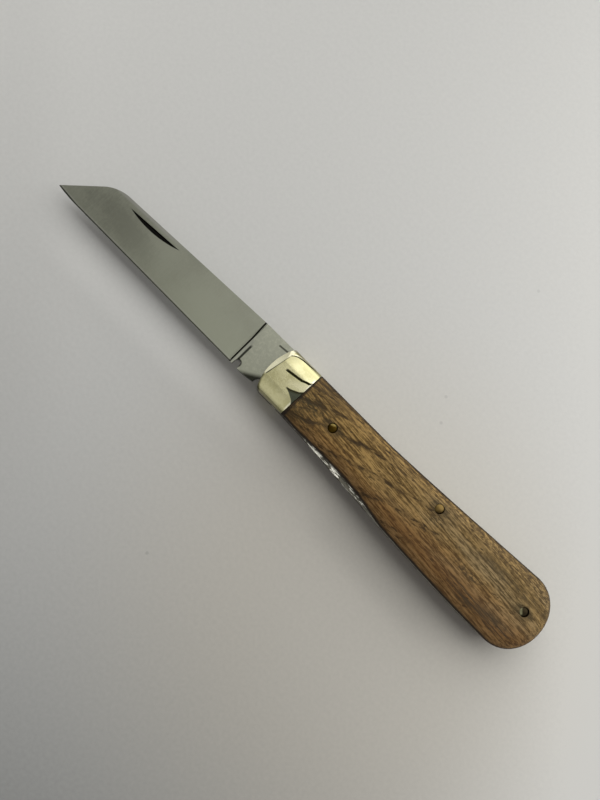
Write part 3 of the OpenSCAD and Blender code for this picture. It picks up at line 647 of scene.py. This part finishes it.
# Brass pins: rubbed, each one with painted light on a side of its own, and a dark ring round its head that is a joint
# with painted shade in it. fade is where the lit part begins and ends, in mm
brassLook = {
    "cloud": (1.6, 1.6, 1.6), "cloudFade": (0.35, 0.65), "plain": (rgb(98, 78, 32), rgb(140, 112, 52)),
    "headFade": (2.2, 2.0), "ragged": 0.8, "ring": rgb(36, 28, 14), "ringRadius": 1.35, "ringWide": (0.1, 0.15),
    "roughness": 0.3, "roughCloud": 0.2,
    "pins": [{"side": (-0.45, 0.9), "fade": (0.3, 1.0), "tones": (rgb(54, 40, 9), rgb(122, 108, 62)), "ring": 0.7},
             {"side": (-0.6, 0.8), "fade": (-1.1, 0.1), "tones": (rgb(50, 38, 20), rgb(106, 87, 50)), "ring": 0.4},
             {"side": (-0.75, -0.66), "fade": (0.35, 0.85), "tones": (rgb(44, 38, 26), rgb(132, 128, 98)),
              "ring": 0.9}]}


def brassFinish():
    t = brassLook
    f = newFinish("rubbed_brass", {"Metallic": 1.0})
    spot = f.place()
    x, y, z = f.axes(spot)
    cloud = f.noise(f.stretched(spot, t["cloud"]), 4.0, 0.6)
    base = f.mix(f.ease(cloud, *t["cloudFade"]), *t["plain"])
    for pin, look in zip(pinPlaces, t["pins"]):
        across, up = x - pin.x, y - pin.y
        away = f.length(across, up)
        # Painted light on one side of each head
        lit = across * look["side"][0] + up * look["side"][1] + (cloud - 0.5) * t["ragged"]
        lit = f.ease(lit, *look["fade"])
        base = f.mix(f.ease(away, *t["headFade"]), base, f.mix(lit, *look["tones"]))
        # The dark ring at the head's edge: a joint, with painted shade in it
        base = f.lay(base, f.near(away - t["ringRadius"], *t["ringWide"]), (t["ring"], look["ring"]))
    return dress(f, base, t["roughness"] + t["roughCloud"] * cloud)


oak = oakFinish()
bladeSteel = bladeFinish()
springSteel = springFinish()
linerMetal = linerFinish()
bolsterMetal = bolsterFinish()
brass = brassFinish()
print("finishes made")

# Pieces: a copy of a CAD mesh is cleaned of its loose triangles, and stands for the part that it is a copy of. Widths
# are in mm and angles in degrees
pieceSizes = {"merge": 0.002, "flat": 0.4, "flatBolster": 0.1, "smooth": 30, "round": 0.3, "roundSteps": 3}
bladeRound = {"sharp": 60, "above": 4.6, "before": -22}
bolsterRound = {"sharp": 50, "along": 0.6, "outside": 3.4}


def copyOf(node, name, body, material, flat=pieceSizes["flat"]):
    bpy.ops.object.select_all(action="DESELECT")
    piece = bpy.data.objects.new(name, nodes[node].data.copy())
    bpy.context.scene.collection.objects.link(piece)
    bpy.context.view_layer.objects.active = piece
    piece.select_set(True)
    piece.data.materials.clear()
    piece.data.materials.append(material)
    bpy.ops.object.mode_set(mode="EDIT")
    bpy.ops.mesh.select_all(action="SELECT")
    bpy.ops.mesh.remove_doubles(threshold=pieceSizes["merge"] * mm)
    bpy.ops.mesh.dissolve_limited(angle_limit=math.radians(flat))
    bpy.ops.object.mode_set(mode="OBJECT")
    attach(piece, body)
    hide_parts(node)
    return piece


def roundEdges(piece, sharp, wanted):  # bevels the sharp edges whose middles are wanted
    bpy.ops.object.select_all(action="DESELECT")
    bpy.context.view_layer.objects.active = piece
    piece.select_set(True)
    bpy.ops.object.mode_set(mode="EDIT")
    bpy.ops.mesh.select_mode(type="EDGE")
    bpy.ops.mesh.select_all(action="DESELECT")
    bpy.ops.mesh.edges_select_sharp(sharpness=math.radians(sharp))
    bpy.ops.object.mode_set(mode="OBJECT")
    points = piece.data.vertices
    for edge in piece.data.edges:
        if edge.select:
            ends = [points[i].co / mm for i in edge.vertices]
            edge.select = wanted((ends[0] + ends[1]) / 2)
    bpy.ops.object.mode_set(mode="EDIT")
    bpy.ops.mesh.bevel(offset=pieceSizes["round"] * mm, segments=pieceSizes["roundSteps"], affect="EDGES",
                       clamp_overlap=True)
    bpy.ops.object.mode_set(mode="OBJECT")


def smoothOver(piece):
    bpy.ops.object.select_all(action="DESELECT")
    bpy.context.view_layer.objects.active = piece
    piece.select_set(True)
    bpy.ops.mesh.customdata_custom_splitnormals_clear()
    bpy.ops.object.shade_smooth_by_angle(angle=math.radians(pieceSizes["smooth"]), keep_sharp_edges=False)
    piece.modifiers.new("weighted", "WEIGHTED_NORMAL").keep_sharp = True
    bpy.ops.object.modifier_apply(modifier="weighted")


def onBladeBack(p):
    return p.y > bladeRound["above"] and p.x < bladeRound["before"]


def onBolsterJoint(p):
    return abs(p.x - joint) < bolsterRound["along"] and abs(p.z - handleMid) > bolsterRound["outside"]


blade = copyOf("blade", "ground_blade", "blade", bladeSteel)
roundEdges(blade, bladeRound["sharp"], onBladeBack)
smoothOver(blade)
print("blade made", len(blade.data.polygons))

for side in ("front", "rear"):
    bolster = copyOf(side + "_bolster", side + "_bolster_polished", "handle", bolsterMetal,
                     pieceSizes["flatBolster"])
    roundEdges(bolster, bolsterRound["sharp"], onBolsterJoint)
    smoothOver(bolster)
    print(side, "bolster made", len(bolster.data.polygons))
    scale = copyOf(side + "_scale", side + "_oak_scale", "handle", oak)
    smoothOver(scale)
    print(side, "scale made", len(scale.data.polygons))

# Parts that keep their CAD mesh
plainParts = {"back_spring": springSteel, "front_liner": linerMetal, "rear_liner": linerMetal,
              "pivot_pin": bolsterMetal, "centre_pin": brass, "butt_pin": brass, "front_scale_pin": brass,
              "rear_scale_pin": brass, "front_bolster_rivets": bolsterMetal, "rear_bolster_rivets": bolsterMetal}
for name, material in plainParts.items():
    mesh = nodes[name].data
    mesh.materials.clear()
    mesh.materials.append(material)
print("plain parts dressed", len(plainParts))

bpy.context.scene.view_settings.view_transform = "Standard"
